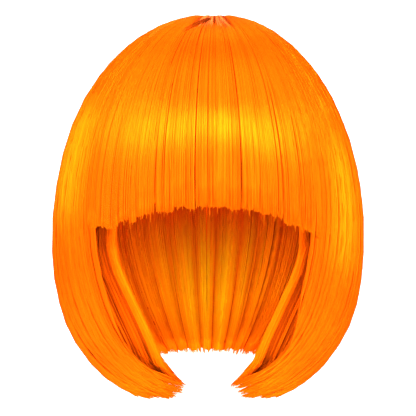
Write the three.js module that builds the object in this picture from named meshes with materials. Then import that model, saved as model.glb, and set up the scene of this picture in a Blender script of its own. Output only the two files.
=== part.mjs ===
// Bob wig, in millimetres: an inner cap that the head carries, an outer layer of hair in four sectors,
// and an inner layer at the nape and behind each curtain.
// The origin is the inside top of the cap, +Z is up and the face looks towards -Y.
// Azimuths are in degrees from the face, positive towards +X.
import * as THREE from "three";

// Outer form of the hair
const HALF_WIDTH = 112;
const FRONT_DEPTH = 117;
const BACK_DEPTH = 118;
const CROWN_RISE = 20;
const DROP = 262.5;
const PLAN_ROUNDNESS = 1.88;
const CROWN_ROUNDNESS = 2.05;
const BASE_ROUNDNESS = 2.3;

// Whorl: the hair starts round a small dimple, a little off the middle of the head
const WHORL_RADIUS = 9;
const WHORL_DIMPLE = 3;
const DIMPLE_SPREAD = 8;
const WHORL_SIDE = 3.4;
const WHORL_FORWARD = 8;
const LEAN_DEPTH = 25;

// Head form and cap
const HEAD_HALF_WIDTH = 77;
const HEAD_FRONT = 96;
const HEAD_BACK = 100;
const HEAD_BELLY = 85;
const HEAD_ROUNDNESS = 2.1;
const CAP_WALL = 1.5;
const CAP_FRONT_EDGE = 50;
const CAP_SIDE_EDGE = 95;
const CAP_BACK_EDGE = 105;

// Thickness of the hair and how it leaves the cap
const HAIR_WALL = 9;
const HEM_WALL = 3;
const FLARE_DROP = 28;
const ROOM_FLARE_DROP = 36;
const SEAT_GAP = 0.7;
const PART_GAP = 0.4;
const LAYER_GAP = 1;

// Sectors of the outer layer
const FRINGE_LEFT = -45.5;
const FRINGE_RIGHT = 41;
const SIDE_LEFT = -118;
const SIDE_RIGHT = 118;
const EDGE_TAPER = 22;
// Lower down, a curtain's front edge leaves the line of the fringe's edge and runs from this root
const CURTAIN_EDGE = 49.5;
const EDGE_LEAVES_SHARE = 0.7;
const EDGE_LEFT_SHARE = 0.9;
const WALL_TAPER_START = 0.4;
const LOCK_DEPTH = 1.6;
const LOCK_FULL_SHARE = 0.6;
const HEM_NOTCH = 4;
const LONG_HEM_NOTCH = 1;

// How much of a strand's sweep builds up evenly, and how late the rest comes
const EVEN_SWEEP = 0.42;
const EVEN_SWEEP_POWER = 1.2;
const LATE_SWEEP_POWER = 6;

// Inner layer
const NAPE_WALL = 6;
const NAPE_SPREAD = 64;
const NAPE_SHORTER = 33;
const NAPE_NOTCH = 2.5;
const NAPE_GATHER = 0.36;
const NAPE_GATHER_POWER = 1.2;
const RIB_DEPTH = 2.4;
const RIB_FULL_SHARE = 0.3;
const UNDER_WALL = 5;
const UNDER_REAR = 108;
const UNDER_FRONT_SHORTER = 19;
const UNDER_REAR_SHORTER = 36;
const UNDER_MEETS_SHARE = 0.6;

// Belly and bottom of the outer form by azimuth, as shares of DROP
const LEVELS = [
  { at: 0, belly: 0.37, bottom: 0.98 },
  { at: 42, belly: 0.467, bottom: 0.985 },
  { at: 90, belly: 0.546, bottom: 1.0 },
  { at: 135, belly: 0.48, bottom: 0.985 },
  { at: 180, belly: 0.41, bottom: 1.0 },
];

// How the strands run by azimuth at the whorl: degrees that the end sweeps forward,
// and degrees that it turns in below the belly
const STRANDS = [
  { at: 0, sweep: 0, turn: 40 },
  { at: 30, sweep: 14, turn: 48 },
  { at: 44, sweep: 33, turn: 57 },
  { at: 52, sweep: 37, turn: 62 },
  { at: 65, sweep: 33, turn: 69 },
  { at: 90, sweep: 29, turn: 69 },
  { at: 118, sweep: 12, turn: 62 },
  { at: 140, sweep: 4, turn: 53 },
  { at: 180, sweep: 0, turn: 47 },
];

// Length of the fringe by azimuth, as shares of DROP
const FRINGE_HEM = [
  { at: -46, length: 0.487 },
  { at: -38, length: 0.494 },
  { at: -28, length: 0.468 },
  { at: -14, length: 0.441 },
  { at: 4, length: 0.433 },
  { at: 20, length: 0.444 },
  { at: 31, length: 0.482 },
  { at: 46, length: 0.521 },
];

// Front edge of the hair behind each curtain: height as a share of DROP, azimuth,
// and radius as a share of HALF_WIDTH
const RIDGE = [
  { at: 0.36, azimuth: 49, radius: 0.71 },
  { at: 0.45, azimuth: 48, radius: 0.81 },
  { at: 0.535, azimuth: 46.3, radius: 0.85 },
  { at: 0.61, azimuth: 44.3, radius: 0.81 },
  { at: 0.67, azimuth: 41, radius: 0.757 },
  { at: 0.737, azimuth: 37, radius: 0.704 },
  { at: 0.805, azimuth: 32.8, radius: 0.648 },
  { at: 0.855, azimuth: 30.3, radius: 0.62 },
  { at: 0.9, azimuth: 27, radius: 0.591 },
  { at: 0.94, azimuth: 23, radius: 0.562 },
];

const radians = THREE.MathUtils.degToRad;
const degrees = THREE.MathUtils.radToDeg;
const mix = THREE.MathUtils.lerp;
const clamp = THREE.MathUtils.clamp;

// An azimuth between -180 and 180
function unwind(azimuth) {
  return azimuth > 180 ? azimuth - 360 : azimuth;
}

// A smooth rise from 0 to 1
function ease(t) {
  const s = clamp(t, 0, 1);
  return s * s * (3 - 2 * s);
}

// One column of a table at x, joined smoothly from row to row
function lookUp(rows, column, x) {
  let value = rows[0][column];
  for (let i = 1; i < rows.length; i++) {
    const [low, high] = [rows[i - 1], rows[i]];
    if (x >= low.at) value = mix(low[column], high[column], ease((x - low.at) / (high.at - low.at)));
  }
  return value;
}

// The same, joined by straight stretches
function lookUpStraight(rows, column, x) {
  let value = rows[0][column];
  for (let i = 1; i < rows.length; i++) {
    const [low, high] = [rows[i - 1], rows[i]];
    const t = clamp((x - low.at) / (high.at - low.at), 0, 1);
    if (x >= low.at) value = mix(low[column], high[column], t);
  }
  return value;
}

// Radius of a rounded plan at an azimuth
function planRadius(azimuth, halfWidth, front, back, roundness) {
  const depth = Math.cos(radians(azimuth)) > 0 ? front : back;
  const side = Math.abs(Math.sin(radians(azimuth))) / halfWidth;
  const along = Math.abs(Math.cos(radians(azimuth))) / depth;
  return (side ** roundness + along ** roundness) ** (-1 / roundness);
}

// Height of the outer form's belly or bottom at an azimuth
function level(column, azimuth) {
  return -DROP * lookUp(LEVELS, column, Math.abs(unwind(azimuth)));
}

// Radius and height on the outer form: the angle is 0 at the crown, 90 at the belly and 180 at the bottom
function hairProfile(azimuth, angle, inset = 0) {
  const radius = planRadius(azimuth, HALF_WIDTH, FRONT_DEPTH, BACK_DEPTH, PLAN_ROUNDNESS) - inset;
  const belly = level("belly", azimuth);
  const bottom = level("bottom", azimuth) + inset;
  const top = CROWN_RISE - inset;
  const [end, roundness] = angle < 90 ? [top, CROWN_ROUNDNESS] : [bottom, BASE_ROUNDNESS];
  const turn = radians(angle < 90 ? 90 - angle : Math.min(angle, 180) - 90);
  return {
    r: radius * Math.cos(turn) ** (2 / roundness),
    z: belly + (end - belly) * Math.sin(turn) ** (2 / roundness),
  };
}

// Radius of the outer form at a height
function hairRadius(azimuth, z, inset) {
  const belly = level("belly", azimuth);
  const bottom = level("bottom", azimuth) + inset;
  const [end, roundness] = z > belly ? [CROWN_RISE - inset, CROWN_ROUNDNESS] : [bottom, BASE_ROUNDNESS];
  const share = clamp((z - belly) / (end - belly), 0, 1);
  const radius = planRadius(azimuth, HALF_WIDTH, FRONT_DEPTH, BACK_DEPTH, PLAN_ROUNDNESS) - inset;
  return radius * (1 - share ** roundness) ** (1 / roundness);
}

// Angle on the outer form at a height below the belly
function angleAt(azimuth, z) {
  const belly = level("belly", azimuth);
  const bottom = level("bottom", azimuth);
  const share = clamp((z - belly) / (bottom - belly), 0, 1);
  return 90 + degrees(Math.asin(share ** (BASE_ROUNDNESS / 2)));
}

// Radius of the head form, grown outwards, at a height
function headRadius(azimuth, z, grow) {
  const radius = planRadius(azimuth, HEAD_HALF_WIDTH, HEAD_FRONT, HEAD_BACK, HEAD_ROUNDNESS) + grow;
  const share = clamp((z + HEAD_BELLY) / (grow + HEAD_BELLY), 0, 1);
  return radius * (1 - share ** HEAD_ROUNDNESS) ** (1 / HEAD_ROUNDNESS);
}

// Height of the cap's edge
function capEdge(azimuth) {
  const a = Math.abs(unwind(azimuth));
  if (a < 90) return -mix(CAP_FRONT_EDGE, CAP_SIDE_EDGE, ease(a / 90));
  return -mix(CAP_SIDE_EDGE, CAP_BACK_EDGE, ease((a - 90) / 90));
}

// A point, with the crown leaning to the whorl by the given share
function place(azimuth, r, z, lean = 0) {
  const shift = lean * Math.exp(-(CROWN_RISE - z) / LEAN_DEPTH);
  const x = r * Math.sin(radians(azimuth)) + WHORL_SIDE * shift;
  const y = -r * Math.cos(radians(azimuth)) - WHORL_FORWARD * shift;
  return new THREE.Vector3(x, y, z);
}

// Azimuth of a strand that starts at the root and turns in by the given angle
function strandAzimuth(root, angle) {
  const a = Math.abs(unwind(root));
  const share = clamp((angle - 90) / lookUp(STRANDS, "turn", a), 0, 1);
  const grown = mix(share ** LATE_SWEEP_POWER, share ** EVEN_SWEEP_POWER, EVEN_SWEEP);
  return root - Math.sign(unwind(root)) * lookUp(STRANDS, "sweep", a) * grown;
}

// Angle on the crown at a radius
function angleAtRadius(azimuth, r) {
  const radius = planRadius(azimuth, HALF_WIDTH, FRONT_DEPTH, BACK_DEPTH, PLAN_ROUNDNESS);
  return degrees(Math.asin((r / radius) ** (CROWN_ROUNDNESS / 2)));
}

// Degrees that a sideways nudge spans at a radius
function swing(nudge, r) {
  return nudge === 0 ? 0 : degrees(nudge / r);
}

// Face of the hair: the outer form with its locks pressed in by the given depth
function outerPoint(azimuth, angle, groove, nudge = 0) {
  const { r, z } = hairProfile(azimuth, angle, groove);
  const dimple = WHORL_DIMPLE * Math.exp(-((r / DIMPLE_SPREAD) ** 2));
  return place(azimuth + swing(nudge, r), r, z - dimple, 1);
}

// Back of the hair: it lies on the cap, leaves it at the cap's edge and follows the outer form below
function innerPoint(azimuth, angle, wall, nudge = 0) {
  const outer = hairProfile(azimuth, angle);
  const edge = capEdge(azimuth);
  const grow = CAP_WALL + SEAT_GAP;
  const scale = (grow - edge) / (CROWN_RISE - edge);
  const seatHeight = outer.z > edge ? grow + (outer.z - CROWN_RISE) * scale : outer.z;
  const seatRadius = headRadius(azimuth, seatHeight, grow);
  const free = hairProfile(azimuth, angle, wall);
  const leave = ease((edge - outer.z) / FLARE_DROP);
  const r = mix(seatRadius, free.r, leave);
  return place(azimuth + swing(nudge, r), r, mix(seatHeight, free.z, leave));
}

// Radius of the room inside the outer layer, for the layer within it
function roomRadius(azimuth, z, gap) {
  const edge = capEdge(azimuth);
  const leave = ease((edge - z - gap) / ROOM_FLARE_DROP);
  const seat = headRadius(azimuth, edge, CAP_WALL + SEAT_GAP);
  return mix(seat, hairRadius(azimuth, z, HAIR_WALL), leave) - gap;
}

// A solid from its points and its triangles
function solid(positions, indices) {
  const geometry = new THREE.BufferGeometry();
  geometry.setAttribute("position", new THREE.Float32BufferAttribute(positions, 3));
  geometry.setIndex(indices);
  geometry.computeVertexNormals();
  return geometry;
}

// A closed solid between two grids of points, front and back, each given by its shares across and down.
// The way is 1 where the columns run to higher azimuths and -1 where they run to lower ones.
function sheetBetween(way, columns, rows, front, back) {
  const positions = [];
  const indices = [];
  for (const face of [front, back]) {
    for (let c = 0; c <= columns; c++) {
      for (let r = 0; r <= rows; r++) positions.push(...face(c / columns, r / rows).toArray());
    }
  }
  const at = (face, c, r) => (face * (columns + 1) + c) * (rows + 1) + r;
  const quad = (a, b, c, d) => indices.push(...(way > 0 ? [a, b, c, a, c, d] : [a, c, b, a, d, c]));
  for (let c = 0; c < columns; c++) {
    for (let r = 0; r < rows; r++) {
      quad(at(0, c, r), at(0, c, r + 1), at(0, c + 1, r + 1), at(0, c + 1, r));
      quad(at(1, c, r), at(1, c + 1, r), at(1, c + 1, r + 1), at(1, c, r + 1));
    }
    quad(at(0, c, 0), at(0, c + 1, 0), at(1, c + 1, 0), at(1, c, 0));
    quad(at(0, c, rows), at(1, c, rows), at(1, c + 1, rows), at(0, c + 1, rows));
  }
  for (let r = 0; r < rows; r++) {
    quad(at(0, 0, r), at(1, 0, r), at(1, 0, r + 1), at(0, 0, r + 1));
    quad(at(0, columns, r), at(0, columns, r + 1), at(1, columns, r + 1), at(1, columns, r));
  }
  return solid(positions, indices);
}

// A closed solid between two domes, front and back, that meet at their rim
function domeBetween(columns, rows, front, back) {
  const positions = [];
  const indices = [];
  for (const face of [front, back]) {
    positions.push(...face(0, 0).toArray());
    for (let c = 0; c < columns; c++) {
      for (let r = 1; r <= rows; r++) positions.push(...face(c / columns, r / rows).toArray());
    }
  }
  const tip = (face) => face * (1 + columns * rows);
  const at = (face, c, r) => tip(face) + (c % columns) * rows + r;
  const quad = (a, b, c, d) => indices.push(a, b, c, a, c, d);
  for (let c = 0; c < columns; c++) {
    indices.push(tip(0), at(0, c, 1), at(0, c + 1, 1));
    indices.push(tip(1), at(1, c + 1, 1), at(1, c, 1));
    for (let r = 1; r < rows; r++) {
      quad(at(0, c, r), at(0, c, r + 1), at(0, c + 1, r + 1), at(0, c + 1, r));
      quad(at(1, c, r), at(1, c + 1, r), at(1, c + 1, r + 1), at(1, c, r + 1));
    }
    quad(at(0, c, rows), at(1, c, rows), at(1, c + 1, rows), at(0, c + 1, rows));
  }
  return solid(positions, indices);
}

// How deep a groove lies between locks: 0 on a lock's back, 1 between two
function grooveShare(share, locks) {
  return 0.5 + 0.5 * Math.cos(2 * Math.PI * share * locks);
}

// Sideways nudge that keeps neighbouring sectors apart at their two edges
function edgeNudge(share) {
  if (share === 0) return PART_GAP / 2;
  return share === 1 ? -PART_GAP / 2 : 0;
}

// Thickness of the free hair by root and share of its length: thin at the hem and at a curtain's front edge
function wallAt(root, share) {
  const [front, a] = [root < 0 ? -FRINGE_LEFT : FRINGE_RIGHT, Math.abs(unwind(root))];
  const full = mix(HEM_WALL, HAIR_WALL, ease((a - front) / EDGE_TAPER));
  return mix(full, HEM_WALL, ease((share - WALL_TAPER_START) / (1 - WALL_TAPER_START)));
}

// One sector of the outer layer between two roots, its end angle given by a function of the root.
// Its first edge may run from another root lower down.
function hairSector(firstRoot, lastRoot, locks, rows, endAngle, lowRoot = firstRoot) {
  const way = Math.sign(lastRoot - firstRoot);
  const strand = (u, v) => {
    const left = ease((v - EDGE_LEAVES_SHARE) / (EDGE_LEFT_SHARE - EDGE_LEAVES_SHARE));
    const root = mix(mix(firstRoot, lowRoot, left), lastRoot, u);
    const angle = mix(angleAtRadius(root, WHORL_RADIUS), endAngle(root, grooveShare(u, locks)), v);
    return { root, angle, azimuth: strandAzimuth(root, angle) };
  };
  const front = (u, v) => {
    const { azimuth, angle } = strand(u, v);
    const depth = LOCK_DEPTH * grooveShare(u, locks) * ease(v / LOCK_FULL_SHARE);
    return outerPoint(azimuth, angle, depth, way * edgeNudge(u));
  };
  const back = (u, v) => {
    const { root, azimuth, angle } = strand(u, v);
    return innerPoint(azimuth, angle, wallAt(root, v), way * edgeNudge(u));
  };
  return sheetBetween(way, 4 * locks, rows, front, back);
}

// Where a long strand ends, a little earlier between locks
function longEnd(root, groove) {
  return 90 + lookUp(STRANDS, "turn", Math.abs(unwind(root))) - LONG_HEM_NOTCH * groove;
}

// Where a fringe strand ends, a little higher between locks
function fringeEnd(root, groove) {
  const length = DROP * lookUp(FRINGE_HEM, "length", root) - HEM_NOTCH * groove;
  return angleAt(root, -length);
}

function capGeometry() {
  const face = (grow) => (u, v) => {
    const azimuth = mix(-180, 180, u);
    const fall = 1 - Math.cos(radians(90 * v)) ** (2 / HEAD_ROUNDNESS);
    const z = grow - (grow - capEdge(azimuth)) * fall;
    return place(azimuth, headRadius(azimuth, z, grow), z);
  };
  return domeBetween(32, 9, face(CAP_WALL), face(0));
}

// The start of the hair: a dimpled plug inside the ring of sectors
function whorlGeometry() {
  const face = (point) => (u, v) => {
    const azimuth = mix(-180, 180, u);
    return point(azimuth, angleAtRadius(azimuth, v * (WHORL_RADIUS - PART_GAP)), 0);
  };
  return domeBetween(16, 3, face(outerPoint), face(innerPoint));
}

// Hair at the nape: ribs that gather towards the middle as they run down
function napeGeometry(ribs, rows) {
  const spine = (u, v) => {
    const side = mix(-NAPE_SPREAD, NAPE_SPREAD, u) * (1 - NAPE_GATHER * v ** NAPE_GATHER_POWER);
    const top = capEdge(180 - Math.abs(side)) - SEAT_GAP;
    const hem = NAPE_SHORTER - DROP + NAPE_NOTCH * grooveShare(u, ribs);
    return { azimuth: 180 + side, z: mix(top, hem, v) };
  };
  const face = (depth) => (u, v) => {
    const { azimuth, z } = spine(u, v);
    return place(azimuth, roomRadius(azimuth, z, LAYER_GAP) - depth(u, v), z);
  };
  const outside = face(() => 0);
  const inside = face((u, v) => {
    const wall = mix(NAPE_WALL, HEM_WALL, ease(v));
    return wall + RIB_DEPTH * (0.5 - grooveShare(u, ribs)) * ease(v / RIB_FULL_SHARE);
  });
  return sheetBetween(1, 4 * ribs, rows, outside, inside);
}

// Hair behind a curtain: its front edge is the ridge, and it runs back along the outer layer
function underGeometry(side, columns, rows) {
  const face = (depth) => (u, v) => {
    const hem = mix(UNDER_FRONT_SHORTER, UNDER_REAR_SHORTER, u) - DROP;
    const top = capEdge(mix(RIDGE[0].azimuth, UNDER_REAR, u)) - SEAT_GAP;
    const z = mix(top, hem, v);
    const azimuth = mix(lookUpStraight(RIDGE, "azimuth", -z / DROP), UNDER_REAR, u);
    const room = roomRadius(azimuth, z, LAYER_GAP);
    const edge = Math.min(HALF_WIDTH * lookUpStraight(RIDGE, "radius", -z / DROP), room);
    return place(side * azimuth, mix(edge, room, ease(u / UNDER_MEETS_SHARE)) - depth, z);
  };
  return sheetBetween(side, columns, rows, face(0), face(UNDER_WALL));
}

const HAIR = { color: 0xfd7501, roughness: 0.42, metalness: 0 };
const INNER_HAIR = { color: 0xe25c02, roughness: 0.5, metalness: 0 };
const ROOTS = { color: 0xf0925a, roughness: 0.6, metalness: 0 };
const NET = { color: 0xb04a0c, roughness: 0.85, metalness: 0 };

const group = new THREE.Group();

function add(name, geometry, look) {
  const mesh = new THREE.Mesh(geometry, new THREE.MeshStandardMaterial(look));
  mesh.name = name;
  group.add(mesh);
}

add("cap", capGeometry(), NET);
add("whorl", whorlGeometry(), ROOTS);
add("fringe", hairSector(FRINGE_LEFT, FRINGE_RIGHT, 9, 12, fringeEnd), HAIR);
add("side_right", hairSector(FRINGE_RIGHT, SIDE_RIGHT, 6, 18, longEnd, CURTAIN_EDGE), HAIR);
add("side_left", hairSector(FRINGE_LEFT, SIDE_LEFT, 6, 18, longEnd, -CURTAIN_EDGE), HAIR);
add("back", hairSector(SIDE_RIGHT, 360 + SIDE_LEFT, 7, 18, longEnd), HAIR);
add("nape", napeGeometry(9, 9), INNER_HAIR);
add("under_right", underGeometry(1, 12, 10), INNER_HAIR);
add("under_left", underGeometry(-1, 12, 10), INNER_HAIR);

export default group;
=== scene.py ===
import math

import bpy
import numpy as np
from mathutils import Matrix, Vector


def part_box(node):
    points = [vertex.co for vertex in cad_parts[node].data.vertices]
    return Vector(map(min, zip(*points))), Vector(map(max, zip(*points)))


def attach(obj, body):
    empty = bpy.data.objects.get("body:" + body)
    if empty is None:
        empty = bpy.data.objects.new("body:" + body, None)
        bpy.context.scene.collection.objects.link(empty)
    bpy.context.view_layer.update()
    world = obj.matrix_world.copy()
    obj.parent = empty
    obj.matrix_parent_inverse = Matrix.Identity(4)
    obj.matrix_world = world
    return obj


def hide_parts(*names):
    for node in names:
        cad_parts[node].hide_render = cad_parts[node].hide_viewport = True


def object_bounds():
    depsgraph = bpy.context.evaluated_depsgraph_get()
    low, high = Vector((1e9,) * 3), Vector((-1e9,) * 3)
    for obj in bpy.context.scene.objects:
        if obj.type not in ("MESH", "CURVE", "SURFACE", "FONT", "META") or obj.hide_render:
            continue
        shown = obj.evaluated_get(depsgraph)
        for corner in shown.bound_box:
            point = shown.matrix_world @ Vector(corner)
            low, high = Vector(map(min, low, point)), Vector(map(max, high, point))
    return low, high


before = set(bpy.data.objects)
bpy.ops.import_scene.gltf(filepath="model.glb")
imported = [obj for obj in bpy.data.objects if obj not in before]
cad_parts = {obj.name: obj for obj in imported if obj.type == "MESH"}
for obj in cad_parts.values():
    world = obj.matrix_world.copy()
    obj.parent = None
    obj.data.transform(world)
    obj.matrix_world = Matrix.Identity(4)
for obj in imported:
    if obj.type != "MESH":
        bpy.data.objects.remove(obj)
cad_low, cad_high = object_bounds()

MM = 0.001
MAP = "OFBake"

# Middle of the wig in millimetres, which the strands' faces and the lights turn to
MIDDLE = (0, 0, -110)

# Outer form of the hair in millimetres, read from the frame where it has it
HALF_WIDTH = (cad_high.x - cad_low.x) / 2 / MM
FRONT_DEPTH = -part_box("fringe")[0].y / MM
BACK_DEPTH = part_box("back")[1].y / MM
CROWN_RISE = 20
DROP = 262.5
PLAN_ROUNDNESS = 1.88
CROWN_ROUNDNESS = 2.05
BASE_ROUNDNESS = 2.3

# Whorl
WHORL_DIMPLE = 3
DIMPLE_SPREAD = 8
WHORL_SIDE = 3.4
WHORL_FORWARD = 8
LEAN_DEPTH = 25

# Crown form in millimetres: a parting behind the whorl and a shoulder on each side of it
PARTING_DIP = 2.6
PARTING_WIDTH = 5
PARTING_STARTS = (-30, -4)
PARTING_ENDS = (34, 10)
SHOULDER_LIFT = 0.8
SHOULDER_SIDE = 11
SHOULDER_WIDTH = 8
SHOULDER_LENGTH = 24
CROWN_FORM_HEIGHTS = (4, 14)

# Head form and the cap's edge
HEAD_HALF_WIDTH = 77
HEAD_FRONT = 96
HEAD_BACK = 100
HEAD_BELLY = 85
HEAD_ROUNDNESS = 2.1
CAP_GROW = 2.2
CAP_FRONT_EDGE = 50
CAP_SIDE_EDGE = 95
CAP_BACK_EDGE = 105
CAP_GAP = 0.7

# Walls of the hair
HAIR_WALL = 9
HEM_WALL = 3
ROOM_FLARE_DROP = 36
LAYER_GAP = 1
NAPE_WALL = 6
UNDER_WALL = 5

# Sectors by the azimuth of their roots
FRINGE_LEFT = -45.5
FRINGE_RIGHT = 41
SIDE_EDGE = 118
CURTAIN_EDGE = 49.5

# Sweep of the strands
EVEN_SWEEP = 0.42
EVEN_SWEEP_POWER = 1.2
LATE_SWEEP_POWER = 6

# Inner layer
NAPE_SPREAD = 64
NAPE_SHORTER = 33
NAPE_GATHER = 0.36
NAPE_GATHER_POWER = 1.2
RIB_DEPTH = 2.4
UNDER_REAR = 108
UNDER_FRONT_SHORTER = 19
UNDER_REAR_SHORTER = 36
UNDER_MEETS_SHARE = 0.6

# Belly and bottom by azimuth, as shares of DROP
LEVELS = {
    "at": (0, 42, 90, 135, 180),
    "belly": (0.37, 0.467, 0.546, 0.48, 0.41),
    "bottom": (0.98, 0.985, 1.0, 0.985, 1.0),
}

# Sweep and turn of the strands in degrees by the azimuth of their roots
STRANDS = {
    "at": (0, 30, 44, 52, 65, 90, 118, 140, 180),
    "sweep": (0, 14, 33, 37, 33, 29, 12, 4, 0),
    "turn": (40, 48, 57, 62, 69, 69, 62, 53, 47),
}

# Length of the fringe by azimuth, as shares of DROP
FRINGE_HEM = {
    "at": (-46, -38, -28, -14, 4, 20, 31, 46),
    "length": (0.487, 0.494, 0.468, 0.441, 0.433, 0.444, 0.482, 0.521),
}

# Front edge of the inner layer by height as a share of DROP
RIDGE = {
    "at": (0.36, 0.45, 0.535, 0.61, 0.67, 0.737, 0.805, 0.855, 0.9, 0.94),
    "azimuth": (49, 48, 46.3, 44.3, 41, 37, 32.8, 30.3, 27, 23),
    "radius": (0.71, 0.81, 0.85, 0.81, 0.757, 0.704, 0.648, 0.62, 0.591, 0.562),
}


def mix(a, b, t):
    return a + (b - a) * t


def ease(t):
    t = np.clip(t, 0, 1)
    return t * t * (3 - 2 * t)


def ramp(x, start, end):
    """0 up to the start, 1 from the end on and smooth between them. The end may be the lower one."""
    return ease((x - start) / (end - start))


def look_up(table, column, x):
    """One column of a table at x, joined smoothly from row to row."""
    x = np.asarray(x, float)
    at, values = table["at"], table[column]
    found = np.full_like(x, values[0])
    for i in range(1, len(at)):
        t = ease((x - at[i - 1]) / (at[i] - at[i - 1]))
        found = np.where(x >= at[i - 1], mix(values[i - 1], values[i], t), found)
    return found


def unwind(azimuth):
    return np.where(azimuth > 180, azimuth - 360, azimuth)


def plan_radius(azimuth, half_width, front, back, roundness):
    a = np.radians(azimuth)
    depth = np.where(np.cos(a) > 0, front, back)
    side = np.abs(np.sin(a)) / half_width
    along = np.abs(np.cos(a)) / depth
    return (side**roundness + along**roundness) ** (-1 / roundness)


def hair_plan(azimuth):
    return plan_radius(azimuth, HALF_WIDTH, FRONT_DEPTH, BACK_DEPTH, PLAN_ROUNDNESS)


def level(column, azimuth):
    return -DROP * look_up(LEVELS, column, np.abs(unwind(azimuth)))


def hair_profile(azimuth, angle, inset):
    """Radius and height on the outer form: the angle is 0 at the crown and 90 at the belly."""
    radius = hair_plan(azimuth) - inset
    belly = level("belly", azimuth)
    crown = angle < 90
    end = np.where(crown, CROWN_RISE - inset, level("bottom", azimuth) + inset)
    power = np.where(crown, 2 / CROWN_ROUNDNESS, 2 / BASE_ROUNDNESS)
    turn = np.radians(np.where(crown, 90 - angle, np.minimum(angle, 180) - 90))
    return radius * np.cos(turn) ** power, belly + (end - belly) * np.sin(turn) ** power


def hair_radius(azimuth, z, inset):
    belly = level("belly", azimuth)
    above = z > belly
    end = np.where(above, CROWN_RISE - inset, level("bottom", azimuth) + inset)
    power = np.where(above, CROWN_ROUNDNESS, BASE_ROUNDNESS)
    share = np.clip((z - belly) / (end - belly), 0, 1)
    return (hair_plan(azimuth) - inset) * (1 - share**power) ** (1 / power)


def angle_at(azimuth, z):
    belly = level("belly", azimuth)
    share = np.clip((z - belly) / (level("bottom", azimuth) - belly), 0, 1)
    return 90 + np.degrees(np.arcsin(share ** (BASE_ROUNDNESS / 2)))


def angle_at_radius(azimuth, r):
    return np.degrees(np.arcsin((r / hair_plan(azimuth)) ** (CROWN_ROUNDNESS / 2)))


def head_radius(azimuth, z, grow):
    radius = plan_radius(azimuth, HEAD_HALF_WIDTH, HEAD_FRONT, HEAD_BACK, HEAD_ROUNDNESS) + grow
    share = np.clip((z + HEAD_BELLY) / (grow + HEAD_BELLY), 0, 1)
    return radius * (1 - share**HEAD_ROUNDNESS) ** (1 / HEAD_ROUNDNESS)


def cap_edge(azimuth):
    a = np.abs(unwind(azimuth))
    front = mix(CAP_FRONT_EDGE, CAP_SIDE_EDGE, ease(a / 90))
    rear = mix(CAP_SIDE_EDGE, CAP_BACK_EDGE, ease((a - 90) / 90))
    return -np.where(a < 90, front, rear)


def room_radius(azimuth, z):
    """Radius of the room inside the outer layer."""
    edge = cap_edge(azimuth)
    leave = ease((edge - z - LAYER_GAP) / ROOM_FLARE_DROP)
    seat = head_radius(azimuth, edge, CAP_GROW)
    return mix(seat, hair_radius(azimuth, z, HAIR_WALL), leave) - LAYER_GAP


def place(azimuth, r, z, lean=0):
    shift = lean * np.exp(-(CROWN_RISE - z) / LEAN_DEPTH)
    a = np.radians(azimuth)
    x = r * np.sin(a) + WHORL_SIDE * shift
    y = -r * np.cos(a) - WHORL_FORWARD * shift
    return np.stack([x, y, z + 0 * r], -1)


def crown_form(points):
    """Parts the crown behind the whorl and raises it a little on both sides of that."""
    x = np.abs(points[..., 0] - WHORL_SIDE)
    y = points[..., 1] + WHORL_FORWARD
    dip = PARTING_DIP * np.exp(-x / PARTING_WIDTH) * ramp(y, *PARTING_STARTS) * ramp(y, *PARTING_ENDS)
    across = ((x - SHOULDER_SIDE) / SHOULDER_WIDTH) ** 2
    rise = SHOULDER_LIFT * np.exp(-across - (y / SHOULDER_LENGTH) ** 2)
    points[..., 2] += (rise - dip) * ramp(points[..., 2], *CROWN_FORM_HEIGHTS)
    return points


def strand_azimuth(root, angle):
    a = np.abs(unwind(root))
    share = np.clip((angle - 90) / look_up(STRANDS, "turn", a), 0, 1)
    grown = mix(share**LATE_SWEEP_POWER, share**EVEN_SWEEP_POWER, EVEN_SWEEP)
    return root - np.sign(unwind(root)) * look_up(STRANDS, "sweep", a) * grown


def outer_path(root, angle, depth):
    azimuth = strand_azimuth(root, angle)
    r, z = hair_profile(azimuth, angle, depth)
    dimple = WHORL_DIMPLE * np.exp(-((r / DIMPLE_SPREAD) ** 2))
    return crown_form(place(azimuth, r, z - dimple, 1))


class Socket:
    """A shader socket whose operators add Math nodes."""

    def __init__(self, pen, socket):
        self.pen = pen
        self.socket = socket

    def _math(self, operation, *values):
        return self.pen.node("ShaderNodeMath", *values, operation=operation)

    def __add__(self, other):
        return self._math("ADD", self, other)

    def __radd__(self, other):
        return self._math("ADD", other, self)

    def __sub__(self, other):
        return self._math("SUBTRACT", self, other)

    def __rsub__(self, other):
        return self._math("SUBTRACT", other, self)

    def __mul__(self, other):
        return self._math("MULTIPLY", self, other)

    def __rmul__(self, other):
        return self._math("MULTIPLY", other, self)

    def __truediv__(self, other):
        return self._math("DIVIDE", self, other)

    def floor(self):
        return self._math("FLOOR", self)

    def clamp(self):
        return self._math("MINIMUM", self._math("MAXIMUM", self, 0.0), 1.0)


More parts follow.
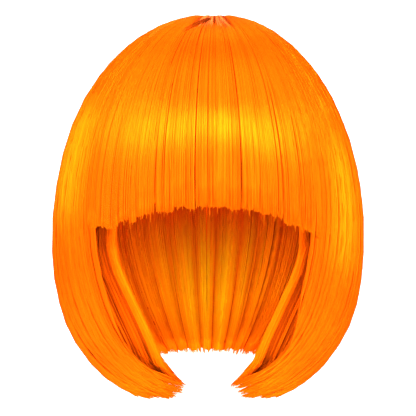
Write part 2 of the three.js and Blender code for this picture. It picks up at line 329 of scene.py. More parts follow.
class Pen:
    """Draws the nodes of one material."""

    def __init__(self, name):
        self.material = bpy.data.materials.new(name)
        self.material.use_nodes = True
        self.tree = self.material.node_tree
        self.shader = self.tree.nodes["Principled BSDF"]

    def node(self, kind, *inputs, out=0, named=None, **settings):
        made = self.tree.nodes.new(kind)
        for key, value in settings.items():
            setattr(made, key, value)
        pairs = list(enumerate(inputs)) + list((named or {}).items())
        for key, value in pairs:
            self.feed(made.inputs[key], value)
        return Socket(self, made.outputs[out])

    def feed(self, target, value):
        if isinstance(value, Socket):
            self.tree.links.new(value.socket, target)
        elif value is not None:
            target.default_value = value

    def set(self, **values):
        for key, value in values.items():
            self.feed(self.shader.inputs[key.replace("_", " ")], value)

    def blend(self, a, b, factor):
        """Mix of two colours."""
        made = self.tree.nodes.new("ShaderNodeMix")
        made.data_type = "RGBA"
        for index, value in ((0, factor), (6, a), (7, b)):
            self.feed(made.inputs[index], value)
        return Socket(self, made.outputs[2])

    def split(self, vector):
        parts = self.tree.nodes.new("ShaderNodeSeparateXYZ")
        self.feed(parts.inputs[0], vector)
        return [Socket(self, parts.outputs[i]) for i in range(3)]

    def join(self, x, y, z=0.0):
        return self.node("ShaderNodeCombineXYZ", x, y, z)

    def noise(self, vector, scale, detail=2.0, roughness=0.5):
        named = {"Vector": vector, "Scale": scale, "Detail": detail, "Roughness": roughness}
        return self.node("ShaderNodeTexNoise", named=named)

    def uv(self):
        return self.split(self.node("ShaderNodeUVMap", uv_map=MAP))


def colour(red, green, blue):
    """A colour from its screen values, 0 to 255, as linear light."""
    shares = [value / 255 for value in (red, green, blue)]
    light = [((v + 0.055) / 1.055) ** 2.4 if v > 0.04 else v / 12.92 for v in shares]
    return (*light, 1)


# Colours of the hair, outside, at the nape and behind the curtains, of its roots and of the cap
DEEP = colour(170, 55, 1)
MAIN = colour(177, 62, 1)
BRIGHT = colour(184, 73, 2)
# Colours at the nape: lighter copies of the hair's orange, painted light for the inside, which the lamps
# reach little. The first of them is painted shade under the fringe, the brightest a painted highlight in
# the middle.
INNER_TOP_SHADE = colour(181, 42, 1)
INNER_DEEP = colour(220, 66, 1)
INNER_LOW = colour(234, 86, 2)
INNER_MAIN = colour(255, 132, 3)
INNER_BRIGHT = colour(255, 196, 11)
# Colours behind the curtains: the low one is painted shade for the lit wall beside the ridge; the others
# are painted light for the shaded rear, the roots and the body.
UNDER_DEEP = colour(176, 54, 1)
UNDER_LOW = colour(128, 43, 1)
UNDER_MAIN = colour(199, 70, 1)
UNDER_BRIGHT = colour(214, 86, 2)
# Roots: their pale, pinkish tones are a painted sheen of the light from above.
ROOT = colour(169, 72, 29)
NEAR_ROOT = colour(177, 74, 14)
ROOT_SHEEN = colour(174, 84, 38)
# Painted shade in the gaps between the roots.
ROOT_GAP_SHADE = colour(77, 19, 1)
ROOT_SHADOW = colour(120, 34, 1)
# Tips, painted lighter: painted light on the ends, which curl under into shade.
TIP = colour(184, 84, 2)
NET = colour(196, 92, 24)
NET_DEEP = colour(150, 58, 12)

# Finish of the fibre: its map, the drift of its tone and its gloss
COLUMNS = 256
TONE_DRIFT = 0.5
DRIFT_ACROSS = 90.0
DRIFT_DOWN = 5.0
TIP_STRENGTH = 0.8
ROUGHER_BY_TONE = 0.08
GLOSS_TINT = (1.0, 0.36, 0.05, 1.0)
COAT = 0.0057
COAT_ROUGHNESS = 0.3


def hair_finish(
    name, tones, roughness, metal, root=None, root_share=1.0, root_fade=0.2, tip=None, tip_from=0.9
):
    """Glossy fibre: the map gives each strand's tone across and its length from root to end down."""
    pen = Pen(name)
    across, down, _ = pen.uv()
    tone = (across * COLUMNS).floor() / COLUMNS
    drift = pen.noise(pen.join(tone * DRIFT_ACROSS, down * DRIFT_DOWN), 1.0)
    shade = (tone + (drift - 0.5) * TONE_DRIFT).clamp()
    deep, main, bright = tones
    base = pen.blend(deep, main, (shade * 2.0).clamp())
    base = pen.blend(base, bright, (shade * 2.0 - 1.0).clamp())
    if root:
        near = (1.0 - down / root_share).clamp()
        base = pen.blend(base, root, near * near * (3.0 - near * 2.0) * (1.0 - tone * root_fade))
    if tip:
        near = ((down - tip_from) / (1.0 - tip_from)).clamp()
        base = pen.blend(base, tip, near * TIP_STRENGTH)
    pen.set(Base_Color=base, Roughness=roughness + tone * ROUGHER_BY_TONE, Metallic=metal)
    pen.set(Specular_IOR_Level=0.0, Specular_Tint=GLOSS_TINT)
    pen.set(Coat_Weight=COAT, Coat_Roughness=COAT_ROUGHNESS)
    return pen.material


# Finish of the hair under the strands
BODY_STREAKS_DOWN = 3.0
BODY_CONTRAST = 2.5
BODY_ROUGHNESS = 0.42
BODY_METAL = 0.4


def body_finish(name, deep, main, streaks):
    """The hair under the strands: streaks that follow its map, between two of the tones."""
    pen = Pen(name)
    across, down, _ = pen.uv()
    shade = pen.noise(pen.join(across * streaks, down * BODY_STREAKS_DOWN), 1.0, detail=4.0)
    shade = ((shade - 0.3) * BODY_CONTRAST).clamp()
    pen.set(Base_Color=pen.blend(deep, main, shade), Roughness=BODY_ROUGHNESS, Metallic=BODY_METAL)
    pen.set(Specular_IOR_Level=0.0, Specular_Tint=GLOSS_TINT)
    return pen.material


# Knit of the cap: waves a radian around it and a metre down it
KNIT_AROUND = 90.0
KNIT_DOWN = 2600.0


def net_finish():
    """Knitted net of the cap."""
    pen = Pen("cap_net")
    x, y, z = pen.split(pen.node("ShaderNodeTexCoord", out=3))
    turn = pen.node("ShaderNodeMath", x, y, operation="ARCTAN2")
    across = pen.node("ShaderNodeMath", turn * KNIT_AROUND, operation="SINE")
    down = pen.node("ShaderNodeMath", z * KNIT_DOWN, operation="SINE")
    knit = across * down * 0.5 + 0.5
    pen.set(Base_Color=pen.blend(NET_DEEP, NET, knit), Roughness=0.85)
    bump = pen.node("ShaderNodeBump", named={"Strength": 0.4, "Distance": 0.0006, "Height": knit})
    pen.set(Normal=bump)
    return pen.material


def add_mesh(name, points, faces, corners, material):
    """A smooth mesh piece from points in millimetres, with a map value for each corner of each face."""
    mesh = bpy.data.meshes.new(name)
    mesh.from_pydata((points * MM).tolist(), [], faces)
    layer = mesh.uv_layers.new(name=MAP)
    layer.data.foreach_set("uv", corners.astype(np.float32).ravel())
    mesh.polygons.foreach_set("use_smooth", np.ones(len(mesh.polygons), bool))
    mesh.materials.append(material)
    mesh.update()
    piece = bpy.data.objects.new(name, mesh)
    bpy.context.scene.collection.objects.link(piece)
    return piece


# Tube of a strand: sides, thickness as a share of width, and the gap between two sides on the map
SIDES_ROUND = 3
FLATNESS = 0.6
MAP_GAP = 0.02


def strand_mesh(name, paths, half_widths, tone, material):
    """Closed three-sided strands along paths of millimetre points, all with as many points."""
    count, rings, _ = paths.shape
    columns = np.floor(np.clip(tone, 0, 0.999) * COLUMNS)
    along = np.gradient(paths, axis=1)
    along /= np.linalg.norm(along, axis=2, keepdims=True) + 1e-9
    out = paths - np.array(MIDDLE, float)
    out -= along * (out * along).sum(2, keepdims=True)
    out /= np.linalg.norm(out, axis=2, keepdims=True) + 1e-9
    side = np.cross(along, out)
    ring = []
    wide = half_widths[..., None]
    for k in range(SIDES_ROUND):
        a = 2 * math.pi * k / SIDES_ROUND
        ring.append(paths + out * wide * FLATNESS * math.cos(a) + side * wide * math.sin(a))
    points = np.stack(ring, 2).reshape(-1, 3)

    first = np.arange(count)[:, None, None] * rings * SIDES_ROUND
    row = np.arange(rings - 1)[None, :, None] * SIDES_ROUND
    k = np.arange(SIDES_ROUND)[None, None, :]
    here, there = first + row + k, first + row + (k + 1) % SIDES_ROUND
    quads = np.stack([here, there, there + SIDES_ROUND, here + SIDES_ROUND], -1).reshape(-1, 4)
    start = first[:, 0]
    end = start + (rings - 1) * SIDES_ROUND
    caps = np.concatenate([start + np.array([[0, 2, 1]]), end + np.array([[0, 1, 2]])])

    share = np.linspace(0, 1, rings)
    left = (columns[:, None, None] + k / SIDES_ROUND) / COLUMNS + 0 * row
    right = (columns[:, None, None] + (k + 1) / SIDES_ROUND - MAP_GAP) / COLUMNS + 0 * row
    top = share[:-1][None, :, None] + 0 * left
    low = share[1:][None, :, None] + 0 * left
    corners = np.stack([left, top, right, top, right, low, left, low], -1).reshape(-1, 2)
    middle = (columns + 0.5) / COLUMNS
    ends = [np.repeat(np.stack([middle, np.full(count, v)], -1), SIDES_ROUND, axis=0) for v in (0.0, 1.0)]
    corners = np.concatenate([corners, *ends])
    faces = quads.tolist() + caps.tolist()
    return add_mesh(name, points, faces, corners, material)


def locks(random, first, last, narrow, wide):
    """Edges of locks of random widths between two roots."""
    edges = [first]
    while edges[-1] < last:
        edges.append(edges[-1] + random.uniform(narrow, wide))
    return np.array(edges)


def lock_of(edges, roots):
    """For each root, its lock's number, middle, the place in it from -1 to 1 and half its width."""
    number = np.clip(np.searchsorted(edges, roots) - 1, 0, len(edges) - 2)
    middle = (edges[number] + edges[number + 1]) / 2
    half = (edges[number + 1] - edges[number]) / 2
    return number, middle, (roots - middle) / half, half


# Points along a strand, and the share of it over which it grows to its full width
OUTER_RINGS = 20
INNER_RINGS = 12
ROOT_RINGS = 10
GROWS_TO = 0.3


def taper(share, root_width, tip_from, tip_width=0.1):
    """Width of a strand along its length, narrow at the root and at the tip."""
    return mix(root_width, 1, ramp(share, 0, GROWS_TO)) * mix(1, tip_width, ramp(share, tip_from, 1))


def shares(random, number, rings):
    """Where the points of each strand lie along it: staggered by lock, so that no facets line up."""
    share = np.linspace(0, 1, rings)[None, :]
    step = random.uniform(-0.5, 0.5, number.max() + 1)[number][:, None] / (rings - 1)
    inner = np.where((share > 0) & (share < 1), 1, 0)
    return share + step * inner


# Outer strands: number a sector, radii where they start, width there, and crowding near the surface
SECTOR_STRANDS = 1500
START_RADII = (5.5, 9.5)
ROOT_TAPER = 0.3
CROWDING = 1.6

# Strands on the inner face of the wall: angle where they start, depth in it, and share of the thickness
INNER_START = 75
INNER_BURIED = 0.6
INNER_THINNER = 0.4

# Angles in degrees between which each effect sets in along a strand
FALL = (20, 130)
WAVES = (8, 28)
ROUNDS = (5, 45)
FULLER_STARTS = (4, 14)
FULLER_ENDS = (104, 44)
CURTAIN_OPENS = (106, 133)

# Longest and shortest wave of a lock in degrees
WAVE_LENGTHS = (60, 32)

# Shares of a strand's length over which the wall thins to the hem and the curtains' tips turn up
WALL_THINS = (0.4, 1)
FLICKS = (0.8, 1)

# Fullness above the body, rise of the curtains' tips and the roots that rise, and the painted shade of
# the fuzz below the hem
UPPER_FULLER = 1.4
TIP_FLICK = 0.5
FLICK_ROOTS = (92, 52)
FUZZ_SHADE = 0.2


def sector_strands(name, seed, first, last, end_angle, material, settings):
    """Strands of one sector of the outer layer."""
    count = SECTOR_STRANDS
    random = np.random.default_rng(seed)
    first, last = first - settings["overlap"], last + settings["overlap"]
    edges = locks(random, first, last, *settings["lock_degrees"])
    roots = random.uniform(first, last, count)
    number, middle, place_in, half = lock_of(edges, roots)
    lock_depth = random.uniform(-1, 1, len(edges))[number] * settings["lock_step"]
    lock_drift = random.normal(0, settings["drift"], len(edges))[number]
    lock_end = random.normal(0, settings["lock_end"], len(edges))[number]
    lock_tone = random.normal(0.5, settings["lock_tone"], len(edges))[number]
    wave_start = random.uniform(0, 2 * math.pi, len(edges))[number][:, None]
    longest, shortest = WAVE_LENGTHS
    wave_turns = random.uniform(1 / longest, 1 / shortest, len(edges))[number][:, None] * 2 * math.pi
    inner = random.random(count) < settings["inner_share"]
    surface = random.random(count) ** CROWDING * settings["thickness"]
    end = end_angle(roots) + lock_end + random.normal(0, settings["end"], count)
    end = end - settings["lock_point"] * place_in**2
    fuzzy = random.random(count) < settings["fuzz_share"]
    end = end + fuzzy * random.exponential(settings["fuzz"], count)
    share = shares(random, number, OUTER_RINGS)
    start = angle_at_radius(roots, random.uniform(*START_RADII, count))
    inner = inner & (np.abs(roots) > np.abs(roots).min() + settings["edge_clear"])
    start = np.where(inner, INNER_START, start)
    angle = mix(start[:, None], end[:, None], share)
    fall = ramp(angle, *FALL)
    gather = middle[:, None] + (place_in * half)[:, None] * (1 - settings["gather"] * fall)
    stray = random.normal(0, settings["stray"], count)[:, None] * fall
    root = gather + lock_drift[:, None] * fall**2 + stray
    if settings["front_edge"]:
        edge = mix(np.abs(roots).min(), settings["front_edge"], ramp(angle, *CURTAIN_OPENS))
        root = np.sign(roots)[:, None] * np.maximum(np.abs(root), edge)
    wave = settings["wave"] * np.sin(angle * wave_turns + wave_start) * ramp(angle, *WAVES)
    rounding = settings["rounding"] * (place_in**2)[:, None] * ramp(angle, *ROUNDS)
    fuller = UPPER_FULLER * ramp(angle, *FULLER_STARTS) * ramp(angle, *FULLER_ENDS)
    depth = surface[:, None] + wave + rounding + lock_depth[:, None] * fall - fuller
    wall = mix(HAIR_WALL, HEM_WALL, ramp(share, *WALL_THINS)) - INNER_BURIED
    depth = np.where(inner[:, None], wall - surface[:, None] * INNER_THINNER, depth)
    paths = settings["finish_ends"](outer_path(root, angle, depth), roots, share)
    width = random.uniform(*settings["width"], count)[:, None]
    tip_from = random.uniform(*settings["tip_from"], count)[:, None]
    widths = width * taper(share, ROOT_TAPER, tip_from, settings["tip_width"])
    # Painted shade at the edges of each lock.
    tone = lock_tone + random.normal(0, settings["tone"], count) - settings["lock_edge_shade"] * place_in**4
    # Painted shade: the fuzz below the hem is darker.
    tone = tone - FUZZ_SHADE * fuzzy
    return strand_mesh(name, paths, widths, tone, material)


def no_change(paths, roots, share):
    return paths


def flick_tips(paths, roots, share):
    """Turns the front tips of the curtains up a little."""
    front = ramp(np.abs(unwind(roots)), *FLICK_ROOTS)[:, None]
    paths[..., 2] += TIP_FLICK * front * ramp(share, *FLICKS)
    return paths


# Settings of the sectors: angles in degrees, depths and widths in millimetres, and shares
OUTER = {
    "lock_degrees": (1.6, 5.0),
    "drift": 0.7,
    "lock_end": 0.8,
    "lock_step": 0.3,
    "inner_share": 0.1,
    "thickness": 0.9,
    "end": 0.8,
    "gather": 0.14,
    "stray": 0.22,
    "rounding": 0.5,
    "overlap": 1.5,
    "wave": 0.22,
    "width": (0.3, 0.5),
    "tip_from": (0.8, 0.93),
    "fuzz_share": 0,
    "fuzz": 1,
    "tip_width": 0.25,
    "lock_tone": 0.07,
    "tone": 0.1,
    "lock_edge_shade": 0.14,
    "lock_point": 1.5,
    "front_edge": 0.0,
    "edge_clear": 0.0,
    "finish_ends": no_change,
}
FRINGE = {
    **OUTER,
    "tip_from": (0.93, 0.97),
    "tip_width": 0.45,
    "end": 0.16,
    "lock_end": 0.3,
    "lock_point": 0.3,
    "rounding": 0.25,
    "gather": 0.04,
    "lock_step": 0.12,
    "drift": 0.35,
    "overlap": 2.6,
    "lock_tone": 0.04,
    "tone": 0.07,
    "lock_edge_shade": 0.06,
    "fuzz_share": 0.1,
    "fuzz": 0.45,
    "width": (0.36, 0.58),
}
BACK = {
    **OUTER,
    "width": (0.42, 0.62),
    "rounding": 0.3,
    "gather": 0.05,
    "lock_step": 0.15,
    "drift": 0.4,
    "lock_tone": 0.05,
    "tone": 0.08,
    "lock_edge_shade": 0.06,
}
SIDES = {
    **OUTER,
    "finish_ends": flick_tips,
    "front_edge": CURTAIN_EDGE - 1.5,
    "edge_clear": 9,
    "tip_width": 0.4,
}

# How far the strands end short of the CAD's hems: in millimetres and in degrees
FRINGE_SHORTER = 2.6
LONG_SHORTER = 1.0


def fringe_end(root):
    """The angle where the fringe's strand from a root ends."""
    return angle_at(root, -DROP * look_up(FRINGE_HEM, "length", root) + FRINGE_SHORTER)


def long_end(root):
    """The angle where a long strand from a root ends."""
    return 90 + look_up(STRANDS, "turn", np.abs(unwind(root))) - LONG_SHORTER


# Bodies: how far their ends draw back in millimetres, over how many degrees, and where that begins
BODY_SHORTER = {"fringe": 2.5, "side_left": 9, "side_right": 9, "back": 3}
SHORTEN_OVER = 25
SHORTEN_BELOW = 30
SHORTEN_DEPTH = 3.0
MM_PER_DEGREE = 2.1

# Search for the root of a strand: number of steps, and the share of the error that each takes away
ROOT_STEPS = 25
ROOT_STEP = 0.6

# Joining a node's loose triangles: merge distance in metres, and angles in radians for the quads
MERGE = 0.00002
QUAD_ANGLE = 1.2


def hair_mass(node, name, press, material):
    """The solid body of a piece of hair: a softened copy of its node, pressed in under the strands."""
    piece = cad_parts[node].copy()
    piece.data = piece.data.copy()
    piece.name = name
    for key in list(piece.keys()):
        del piece[key]
    bpy.context.scene.collection.objects.link(piece)
    bpy.ops.object.select_all(action="DESELECT")
    piece.select_set(True)
    bpy.context.view_layer.objects.active = piece
    bpy.ops.object.mode_set(mode="EDIT")
    bpy.ops.mesh.select_all(action="SELECT")
    bpy.ops.mesh.remove_doubles(threshold=MERGE)
    bpy.ops.mesh.tris_convert_to_quads(face_threshold=QUAD_ANGLE, shape_threshold=QUAD_ANGLE)
    bpy.ops.transform.shrink_fatten(value=-press * MM)
    bpy.ops.object.mode_set(mode="OBJECT")
    if node in BODY_SHORTER:
        shorten(piece.data, fringe_end if node == "fringe" else long_end, BODY_SHORTER[node])
    soft = piece.modifiers.new("soft", "SUBSURF")
    soft.levels = soft.render_levels = 1
    bpy.ops.object.modifier_apply(modifier="soft")
    write_points(piece.data, crown_form(read_points(piece.data)))
    piece.data.materials.clear()
    piece.data.materials.append(material)
    map_mass(piece)
    bpy.ops.object.shade_smooth()
    return piece


def read_points(mesh):
    """The corners of a mesh in millimetres."""
    where = np.zeros(len(mesh.vertices) * 3, np.float32)
    mesh.vertices.foreach_get("co", where)
    return where.reshape(-1, 3) / MM


def write_points(mesh, points):
    mesh.vertices.foreach_set("co", (points * MM).astype(np.float32).ravel())
    mesh.update()


def root_of(azimuth, angle):
    """The root azimuth of the strand that passes a place on the outer form."""
    root = azimuth
    for _ in range(ROOT_STEPS):
        root = root + (azimuth - strand_azimuth(root, angle)) * ROOT_STEP
    return root


def shorten(mesh, end_angle, millimetres):
    """Draws the end of a body back along its strands, so that they end beyond it."""
    where = read_points(mesh)
    azimuth = np.degrees(np.arctan2(where[:, 0], -where[:, 1]))
    angle = angle_at(azimuth, where[:, 2])
    root = root_of(azimuth, angle)
    end = end_angle(root)
    back = millimetres / MM_PER_DEGREE * ramp(angle, end - SHORTEN_OVER, end)
    moved = outer_path(root, angle - back, SHORTEN_DEPTH) - outer_path(root, angle, SHORTEN_DEPTH)
    moved[where[:, 2] > level("belly", azimuth) + SHORTEN_BELOW] = 0
    write_points(mesh, where + moved)


def map_mass(piece):
    """A map of azimuth and height, so that the finish runs along the hair."""
    mesh = piece.data
    while mesh.uv_layers:
        mesh.uv_layers.remove(mesh.uv_layers[0])
    layer = mesh.uv_layers.new(name=MAP)
    where = read_points(mesh)
    corner = np.zeros(len(mesh.loops), np.int32)
    mesh.loops.foreach_get("vertex_index", corner)
    turn = np.arctan2(where[:, 0], -where[:, 1]) / (2 * np.pi) + 0.5
    fall = (CROWN_RISE - where[:, 2]) / (CROWN_RISE + DROP)
    spread = np.stack([turn, fall], -1)[corner]
    layer.data.foreach_set("uv", spread.astype(np.float32).ravel())


def settle(piece, node):
    """The piece rides on the wig and stands for a node, which it hides."""
    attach(piece, "root")
    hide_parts(node)


# Nape: strands, locks as shares of its spread, ragged hem in millimetres, ribs, and the lit middle
NAPE_STRANDS = 1000
NAPE_LOCKS = (0.07, 0.12)
NAPE_LOCK_GATHER = 0.1
NAPE_HEM_STRAY = 1.1
NAPE_HEM_STEPS = (-0.6, 0.8)
NAPE_HEM_LIFT = 1.0
NAPE_RIB_SHARE = 1.2
NAPE_LOOSE = 1.2
NAPE_WIDTH = (0.35, 0.55)
NAPE_TIP_FROM = (0.88, 0.95)
NAPE_TIP_WIDTH = 0.2
NAPE_TONE = 0.26
NAPE_LIT = 0.6
NAPE_LIT_SPREAD = 0.26
NAPE_GAP_SHADE = 0.6
NAPE_TONE_STRAY = 0.06
INNER_ROOT_TAPER = 0.8


def nape_strands(name, seed, material):
    """Ribs of hair inside the back, gathered towards the middle."""
    count = NAPE_STRANDS
    random = np.random.default_rng(seed)
    edges = locks(random, 0, 1, *NAPE_LOCKS)
    across = random.uniform(0, 1, count)
    number, middle, place_in, half = lock_of(edges, across)
    share = shares(random, number, INNER_RINGS)
    hem = NAPE_SHORTER - DROP + random.normal(0, NAPE_HEM_STRAY, count)
    hem = hem + random.uniform(*NAPE_HEM_STEPS, len(edges))[number] + NAPE_HEM_LIFT
    u = middle[:, None] + (place_in * half)[:, None] * (1 - NAPE_LOCK_GATHER * ease(share))
    side = mix(-NAPE_SPREAD, NAPE_SPREAD, u) * (1 - NAPE_GATHER * share**NAPE_GATHER_POWER)
    azimuth = 180 + side
    top = cap_edge(azimuth) - CAP_GAP
    z = mix(top, hem[:, None], share)
    wall = mix(NAPE_WALL, HEM_WALL, ease(share))
    rib = RIB_DEPTH * (1 - place_in**2)[:, None] * ramp(share, 0, GROWS_TO)
    lift = random.random(count)[:, None] ** CROWDING * NAPE_LOOSE
    r = room_radius(azimuth, z) - wall - rib * NAPE_RIB_SHARE + lift
    paths = place(azimuth, r, z)
    width = random.uniform(*NAPE_WIDTH, count)[:, None]
    tip_from = random.uniform(*NAPE_TIP_FROM, count)[:, None]
    widths = width * taper(share, INNER_ROOT_TAPER, tip_from, NAPE_TIP_WIDTH)
    # Painted light in the middle of the nape, with painted shade at the edges of its ribs.
    lit = NAPE_LIT * np.exp(-(((across - 0.5) / NAPE_LIT_SPREAD) ** 2))
    tone = NAPE_TONE + lit * (1 - NAPE_GAP_SHADE * place_in**2) + random.normal(0, NAPE_TONE_STRAY, count)
    return strand_mesh(name, paths, widths, tone, material)


# Hair behind a curtain: strands, the share that is rolled up at its front edge, ragged hem and tones,
# with painted shade on the lit wall beside the ridge, painted light in the shade behind it and a painted
# highlight on the rolled edge
UNDER_STRANDS = 600
ROLLED_SHARE = 0.42
ROLL_ACROSS = (-0.01, 0.03)
ROLL_SHORTER = 4
ROLL_TURN = 1.2
ROLL_HIGHLIGHT = 0.7
UNDER_HEM_STRAY = 1.5
OUTSIDE_SHARE = 0.6
UNDER_CROWDING = 1.5
UNDER_WIDTH = (0.3, 0.5)
UNDER_TIP_FROM = (0.8, 0.92)
UNDER_LIGHTENS = (0.05, 0.11)
UNDER_SHADE_TO_LIGHT = (-0.05, 0.55)
UNDER_INSIDE_TONE = 0.35
UNDER_TONE_STRAY = 0.16


def under_strands(name, seed, side, material):
    """Hair behind a curtain, with a rolled front edge."""
    count = UNDER_STRANDS
    random = np.random.default_rng(seed)
    share = shares(random, np.arange(count), INNER_RINGS)
    rolled = random.random(count) < ROLLED_SHARE
    u = np.where(rolled, random.uniform(*ROLL_ACROSS, count), random.uniform(0, 1, count))[:, None]
    hem = mix(UNDER_FRONT_SHORTER, UNDER_REAR_SHORTER, np.clip(u, 0, 1)) - DROP
    hem = hem + (random.normal(0, UNDER_HEM_STRAY, count) + ROLL_SHORTER * rolled)[:, None]
    top = cap_edge(mix(RIDGE["azimuth"][0], UNDER_REAR, u)) - CAP_GAP
    z = mix(top, hem, share)
    height = -z / DROP
    ridge = np.interp(height, RIDGE["at"], RIDGE["azimuth"])
    azimuth = mix(ridge, UNDER_REAR, u)
    room = room_radius(azimuth, z)
    edge = np.minimum(HALF_WIDTH * np.interp(height, RIDGE["at"], RIDGE["radius"]), room)
    outside = random.random(count) < OUTSIDE_SHARE
    lift = random.random(count) ** UNDER_CROWDING
    flat = np.where(outside, lift, UNDER_WALL - lift)[:, None]
    turn = random.uniform(-math.pi, math.pi, count)[:, None]
    roll = UNDER_WALL / 2 * (1 - np.cos(turn))
    depth = np.where(rolled[:, None], roll, flat)
    azimuth = azimuth - np.where(rolled[:, None], np.abs(np.sin(turn)) * ROLL_TURN, 0)
    r = mix(edge, room, ease(u / UNDER_MEETS_SHARE)) - depth
    paths = place(side * azimuth, r, z)
    width = random.uniform(*UNDER_WIDTH, count)[:, None]
    tip_from = random.uniform(*UNDER_TIP_FROM, count)[:, None]
    widths = width * taper(share, INNER_ROOT_TAPER, tip_from)
    # Painted shade on the outer face beside the ridge, turning to painted light further back in the
    # shade; the rolled edge takes a painted highlight.
    tone = np.where(outside, mix(*UNDER_SHADE_TO_LIGHT, ramp(u[:, 0], *UNDER_LIGHTENS)), UNDER_INSIDE_TONE)
    tone = np.where(rolled, ROLL_HIGHLIGHT, tone) + random.normal(0, UNDER_TONE_STRAY, count)
    return strand_mesh(name, paths, widths, tone, material)


# Whorl: roots, tufts in degrees, radii where its short roots start and end, rise, width and tone, with
# painted shade between the tufts
WHORL_ROOTS = 900
TUFTS = (7, 17)
TUFT_GATHER = (0.35, 0.8)
SHORT_START = (0.3, 3.5)
SHORT_END = (11, 24)
ROOT_LIFT = (0.2, 0.7)
ROOT_RISES = (0, 0.2)
ROOT_NARROWS = (0.5, 0.6)
ROOT_DEPTH = 0.5
ROOT_WIDTH = (0.22, 0.4)
ROOT_TONE = 0.65
TUFT_GAP_SHADE = 0.4
ROOT_TONE_STRAY = 0.18

# Front tufts of the whorl: share of the roots, spread in degrees, and radii where they start and end
FAN_SHARE = 0.6
FAN_SPREAD = 22
FAN_GATHER = 0.5
FAN_START = (3, 34)
FAN_END = (41, 57)

# Painted shade in the partings between the front tufts: azimuth, spread and depth of tone
PARTING_SHADES = ((-21, 3.0, 0.9), (3, 1.6, 0.9), (-9, 1.2, 0.5), (13, 1.5, 0.6), (21, 2.5, 0.6))

# Streak of roots that crosses to the wig's right, coloured as a painted parting shadow: share of the
# roots, azimuth and radius at its two ends
STREAK_SHARE = 0.07
STREAK_FROM = (-3, 34)
STREAK_TO = (-28, 58)
STREAK_WIDTH = (1.2, 0.5)
STREAK_LIFT = 0.4


def whorl_strands(name, seed, material):
    """Roots that fan out from the dimple in small tufts, with longer ones to the front."""
    count = WHORL_ROOTS
    random = np.random.default_rng(seed)
    edges = locks(random, -180, 180, *TUFTS)
    kind = random.random(count)
    streak = kind < STREAK_SHARE
    fan = (kind < FAN_SHARE) & ~streak
    across = random.uniform(-FAN_SPREAD, FAN_SPREAD, count)
    root = np.where(fan, across, random.uniform(-180, 180, count))
    number, middle, place_in, half = lock_of(edges, root)
    share = shares(random, number, ROOT_RINGS)
    azimuth = middle[:, None] + (place_in * half)[:, None] * mix(*TUFT_GATHER, share)
    azimuth = np.where(fan[:, None], across[:, None] * mix(FAN_GATHER, 1, share), azimuth)
    near = np.where(fan, random.uniform(*FAN_START, count), random.uniform(*SHORT_START, count))[:, None]
    far = np.where(fan, random.uniform(*FAN_END, count), random.uniform(*SHORT_END, count))[:, None]
    radius = mix(near, far, share)
    aside = random.normal(0, 1.0, count)[:, None]
    along = share * random.uniform(0.4, 1, count)[:, None]
    streak_azimuth, streak_radius = (
        mix(STREAK_FROM[i], STREAK_TO[i], along) + STREAK_WIDTH[i] * aside for i in range(2)
    )
    azimuth = np.where(streak[:, None], streak_azimuth, azimuth)
    radius = np.where(streak[:, None], streak_radius, radius)
    angle = angle_at_radius(azimuth, radius)
    lift = random.uniform(*ROOT_LIFT, count)[:, None] * ramp(share, *ROOT_RISES)
    lift = lift + STREAK_LIFT * streak[:, None]
    depth = ROOT_DEPTH * ((place_in**2)[:, None] * (1 - share) + share**3)
    depth = depth - lift * (1 - share**3) - UPPER_FULLER * ramp(angle, *FULLER_STARTS)
    paths = outer_path(azimuth, angle, depth)
    width = random.uniform(*ROOT_WIDTH, count)[:, None]
    widths = width * taper(share, *ROOT_NARROWS)
    # Painted shade at the edges of the tufts and in the partings between the front tufts.
    tone = ROOT_TONE - TUFT_GAP_SHADE * place_in**2 + random.normal(0, ROOT_TONE_STRAY, count)
    for at, spread, deep in PARTING_SHADES:
        tone = tone - fan * deep * np.exp(-(((across - at) / spread) ** 2))
    # Painted shadow: the streak's roots take the darkest tone.
    tone = np.where(streak, 0, tone)
    return strand_mesh(name, paths, widths, tone, material)


# How far each kind of body is pressed in, in millimetres, and the streaks across its finish
HAIR_PRESS = 1.0
WHORL_PRESS = 0.3
HAIR_STREAKS = 150.0
INNER_STREAKS = 110.0
ROOT_STREAKS = 40.0


def outer_finish(name, tip_from):
    """Finish of the outer hair, with a painted sheen near the roots and painted light on the tips, which
    begin at a share of its length.
    """
    return hair_finish(
        name, (DEEP, MAIN, BRIGHT), 0.25, 0.7, root=NEAR_ROOT, root_share=0.2, tip=TIP, tip_from=tip_from
    )


def add_bodies():
    hair = body_finish("hair_body", MAIN, BRIGHT, HAIR_STREAKS)
    # The nape's body runs from the painted shade of its top to a lighter copy of the hair's orange,
    # painted light.
    inside = body_finish("inner_hair_body", INNER_TOP_SHADE, INNER_DEEP, INNER_STREAKS)
    # The body behind the curtains carries the same painted shade and light.
    under = body_finish("under_hair_body", UNDER_LOW, UNDER_MAIN, INNER_STREAKS)
    root = body_finish("root_body", ROOT_SHADOW, ROOT_GAP_SHADE, ROOT_STREAKS)
    for node in ("fringe", "side_right", "side_left", "back"):
        settle(hair_mass(node, node + "_body", HAIR_PRESS, hair), node)
    settle(hair_mass("nape", "nape_body", HAIR_PRESS, inside), "nape")
    for node in ("under_right", "under_left"):
        settle(hair_mass(node, node + "_body", HAIR_PRESS, under), node)
    settle(hair_mass("whorl", "whorl_body", WHORL_PRESS, root), "whorl")


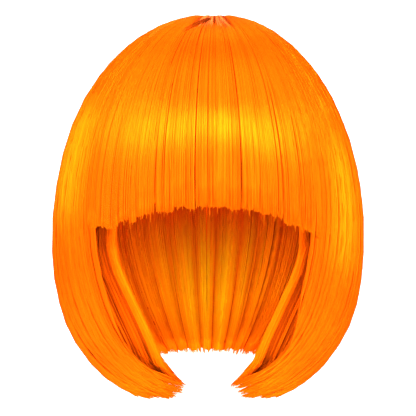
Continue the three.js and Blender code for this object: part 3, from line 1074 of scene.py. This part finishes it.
def add_outer_hair():
    hair = outer_finish("outer_hair", 0.84)
    front = outer_finish("front_hair", 0.96)
    sectors = (
        ("fringe", 41, FRINGE_LEFT, FRINGE_RIGHT, fringe_end, front, FRINGE),
        ("side_right", 12, FRINGE_RIGHT, SIDE_EDGE, long_end, hair, SIDES),
        ("side_left", 13, -SIDE_EDGE, FRINGE_LEFT, long_end, hair, SIDES),
        ("back", 14, SIDE_EDGE, 360 - SIDE_EDGE, long_end, hair, BACK),
    )
    for node, seed, first, last, end_angle, finish, settings in sectors:
        piece = sector_strands(node + "_hair", seed, first, last, end_angle, finish, settings)
        settle(piece, node)


def add_inner_hair():
    # The nape's finish: lighter tones for painted light, painted shade from the top down, and darker
    # lower ends.
    inner_tones = (INNER_DEEP, INNER_MAIN, INNER_BRIGHT)
    inside = hair_finish(
        "inner_hair",
        inner_tones,
        0.34,
        0.15,
        root=INNER_TOP_SHADE,
        root_share=0.9,
        root_fade=0.0,
        tip=INNER_LOW,
        tip_from=0.66,
    )
    # Behind the curtains: painted shade on the lit wall, painted light on the shaded rear and the roots.
    under_tones = (UNDER_LOW, UNDER_MAIN, UNDER_BRIGHT)
    under = hair_finish("under_hair", under_tones, 0.34, 0.2, root=UNDER_DEEP, root_fade=0.9)
    settle(nape_strands("nape_hair", 15, inside), "nape")
    settle(under_strands("under_right_hair", 16, 1, under), "under_right")
    settle(under_strands("under_left_hair", 17, -1, under), "under_left")


def add_roots():
    # The roots' pale tones are a painted sheen, their darkest painted shade in the gaps.
    roots = hair_finish("roots", (ROOT_GAP_SHADE, ROOT, ROOT_SHEEN), 0.5, 0.1, tip=MAIN, tip_from=0.45)
    settle(whorl_strands("whorl_roots", 18, roots), "whorl")


def finish_cap():
    net = net_finish()
    for place_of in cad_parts["cap"].material_slots:
        place_of.material = net


# Camera: the photograph's frame of 416 pixels, at the height and distance that fit its outline
PHOTO_PIXELS = 416
MM_PER_PIXEL = 0.7185
CAMERA_DISTANCE = 1600
CAMERA_ELEVATION = 3
AIM = Vector((-0.15, 0, -117.5)) * MM


def add_camera():
    data = bpy.data.cameras.new("camera")
    data.sensor_width = 36
    data.lens = CAMERA_DISTANCE * data.sensor_width / (PHOTO_PIXELS * MM_PER_PIXEL)
    camera = bpy.data.objects.new("camera", data)
    tilt = math.radians(CAMERA_ELEVATION)
    back = Vector((0, -math.cos(tilt), math.sin(tilt)))
    camera.location = AIM + back * CAMERA_DISTANCE * MM
    camera.rotation_euler = (-back).to_track_quat("-Z", "Y").to_euler()
    bpy.context.scene.collection.objects.link(camera)
    bpy.context.scene.camera = camera


# Exposure of the photograph, and the light that comes from all around
EXPOSURE = 2.15
SURROUNDINGS = 1.02

# Soft lights: azimuth and elevation in degrees, distance, width and height in metres, and power
SOFTBOXES = {
    "key": (0, 34.5, 1.6, 2.6, 0.5, 55),
    "top": (0, 66, 1.6, 2.0, 0.8, 11),
    "front": (0, 9, 1.8, 1.8, 1.0, 15),
    "low": (0, -14, 1.8, 2.2, 0.9, 19),
    "low_left": (-105, -30, 0.7, 0.5, 0.3, 0.6),
    "low_right": (105, -30, 0.7, 0.5, 0.3, 0.3),
    "left": (-98, 14, 1.5, 0.6, 0.8, 17),
    "right": (94, 4, 1.5, 0.4, 0.8, 14),
    "crown": (180, 55, 1.6, 1.2, 1.2, 12),
    "back": (180, 5, 1.6, 1.6, 1.0, 9),
}

# Floor in metres, well below the wig
FLOOR_SIZE = 6
FLOOR_HEIGHT = -0.9


def add_softbox(name, azimuth, elevation, distance, width, height, power):
    """A soft light that faces the wig's middle."""
    data = bpy.data.lights.new(name, "AREA")
    data.shape = "RECTANGLE"
    data.size, data.size_y = width, height
    data.energy = power * EXPOSURE
    light = bpy.data.objects.new(name, data)
    a, e = math.radians(azimuth), math.radians(elevation)
    out = Vector((math.sin(a) * math.cos(e), -math.cos(a) * math.cos(e), math.sin(e)))
    light.location = Vector(MIDDLE) * MM + out * distance
    light.rotation_euler = (-out).to_track_quat("-Z", "Y").to_euler()
    bpy.context.scene.collection.objects.link(light)


def add_studio():
    world = bpy.data.worlds.new("studio")
    world.use_nodes = True
    background = world.node_tree.nodes["Background"]
    background.inputs["Color"].default_value = (1, 1, 1, 1)
    background.inputs["Strength"].default_value = SURROUNDINGS * EXPOSURE
    bpy.context.scene.world = world
    for name, values in SOFTBOXES.items():
        add_softbox(name, *values)
    bpy.ops.mesh.primitive_plane_add(size=FLOOR_SIZE, location=(0, 0, FLOOR_HEIGHT))
    floor = bpy.context.object
    floor.name = "floor"
    pen = Pen("pale_floor")
    pen.set(Base_Color=(0.93, 0.93, 0.93, 1), Roughness=0.9)
    floor.data.materials.append(pen.material)
    view = bpy.context.scene.view_settings
    view.view_transform = "Standard"
    view.look = "None"


add_bodies()
add_outer_hair()
add_inner_hair()
add_roots()
finish_cap()
add_studio()
add_camera()
